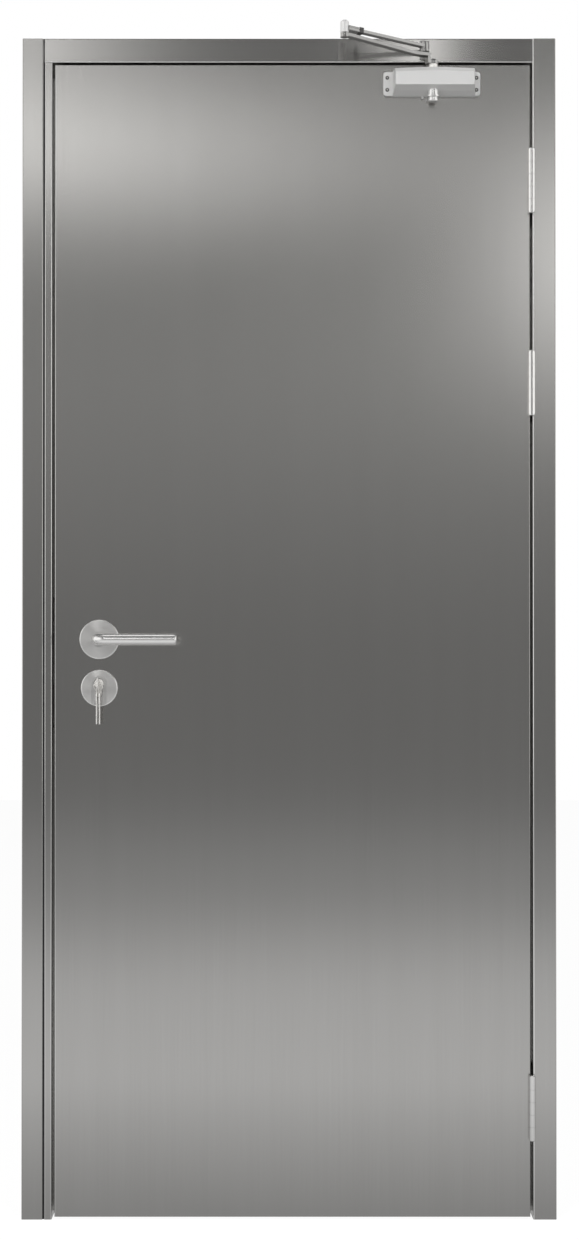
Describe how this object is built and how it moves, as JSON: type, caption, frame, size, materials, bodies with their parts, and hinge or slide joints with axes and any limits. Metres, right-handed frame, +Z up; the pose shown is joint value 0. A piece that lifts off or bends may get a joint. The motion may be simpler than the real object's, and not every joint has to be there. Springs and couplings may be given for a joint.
{
  "type": "single steel fire door with frame",
  "caption": "Flush stainless steel single door in a folded rebated frame, with butt hinges, lever set, keyed lock and overhead closer.",
  "frame": {"origin": "on the floor under the threshold, midway between the frame's outer sides and at mid depth of the threshold", "axes": "+X to the right of someone facing the pull side, -Y towards them, +Z up"},
  "size_m": [0.95, 0.2027, 2.1068],
  "materials": {
    "frame_steel": "hairline",
    "leaf_steel": "hairline, grain upright",
    "core_board": "matt mineral board",
    "seal_rubber": "matt",
    "hinge_steel": "polished",
    "lock_steel": "satin",
    "lever_steel": "satin",
    "cylinder_nickel": "satin nickel",
    "closer_aluminium": "silver lacquer",
    "arm_steel": "zinc plated"
  },
  "bodies": {
    "frame": {"lock_jamb": "frame_steel", "hinge_jamb": "frame_steel", "head": "frame_steel", "lock_side_strip": "frame_steel", "strike_plate": "lock_steel", "threshold": "frame_steel", "smoke_seal": "seal_rubber", "closer_shoe": "arm_steel", "hinge_frame_leaf_top": "hinge_steel", "hinge_pin_top": "hinge_steel", "hinge_frame_leaf_middle": "hinge_steel", "hinge_pin_middle": "hinge_steel", "hinge_frame_leaf_bottom": "hinge_steel", "hinge_pin_bottom": "hinge_steel"},
    "leaf": {"leaf_front_skin": "leaf_steel", "leaf_back_skin": "leaf_steel", "leaf_core": "core_board", "lock_faceplate": "lock_steel", "latch_bolt": "lock_steel", "dead_bolt": "lock_steel", "lever_rose_front": "lever_steel", "lever_rose_back": "lever_steel", "cylinder_rose_front": "lever_steel", "cylinder_rose_back": "lever_steel", "lock_cylinder": "cylinder_nickel", "closer_body": "closer_aluminium", "closer_pinion_cap": "closer_aluminium", "hinge_door_leaf_top": "hinge_steel", "hinge_door_leaf_middle": "hinge_steel", "hinge_door_leaf_bottom": "hinge_steel"},
    "lever_set": {"lever_front": "lever_steel", "lever_back": "lever_steel", "lever_spindle": "lock_steel"},
    "lock_key": {"cylinder_plug": "cylinder_nickel", "key": "cylinder_nickel"},
    "key_bunch": {"key_ring": "cylinder_nickel", "spare_key_left": "cylinder_nickel", "spare_key_right": "cylinder_nickel"},
    "closer_main_arm": {"closer_pinion": "arm_steel", "main_arm": "arm_steel", "main_arm_screw": "arm_steel"},
    "closer_forearm": {"elbow_barrel": "arm_steel", "forearm_sleeve": "arm_steel", "forearm_clamp": "arm_steel", "forearm_bar": "arm_steel"}
  },
  "joints": [
    {"name": "leaf_swing", "type": "hinge", "parent": "frame", "child": "leaf", "pos_m": [0.431, -0.0915, 0], "axis": [0, 0, 1], "range_deg": [0, 105], "stiffness_Nm_per_rad": 8, "springref_deg": -143.24},
    {"name": "lever_turn", "type": "hinge", "parent": "leaf", "child": "lever_set", "pos_m": [-0.337, -0.0845, 1.0295], "axis": [0, 1, 0], "range_deg": [0, 45], "stiffness_Nm_per_rad": 1, "springref_deg": -45.84},
    {"name": "key_turn", "type": "hinge", "parent": "leaf", "child": "lock_key", "pos_m": [-0.337, -0.0845, 0.951], "axis": [0, 1, 0], "range_deg": [0, 360]},
    {"name": "key_ring_swing", "type": "hinge", "parent": "leaf", "child": "key_bunch", "pos_m": [-0.337, -0.1077, 0.951], "axis": [0, 1, 0], "range_deg": [-45, 45]},
    {"name": "main_arm_turn", "type": "hinge", "parent": "leaf", "child": "closer_main_arm", "pos_m": [0.2555, -0.1045, 2.05], "axis": [0, 0, 1], "range_deg": [-133, 0]},
    {"name": "forearm_turn", "type": "hinge", "parent": "frame", "child": "closer_forearm", "pos_m": [0.241, -0.1005, 2.0809], "axis": [0, 0, 1], "range_deg": [0, 97]}
  ],
  "couplings": [
    {"joint": "main_arm_turn", "follows": "leaf_swing", "ratio": -1.2662},
    {"joint": "forearm_turn", "follows": "leaf_swing", "ratio": 0.91888}
  ]
}
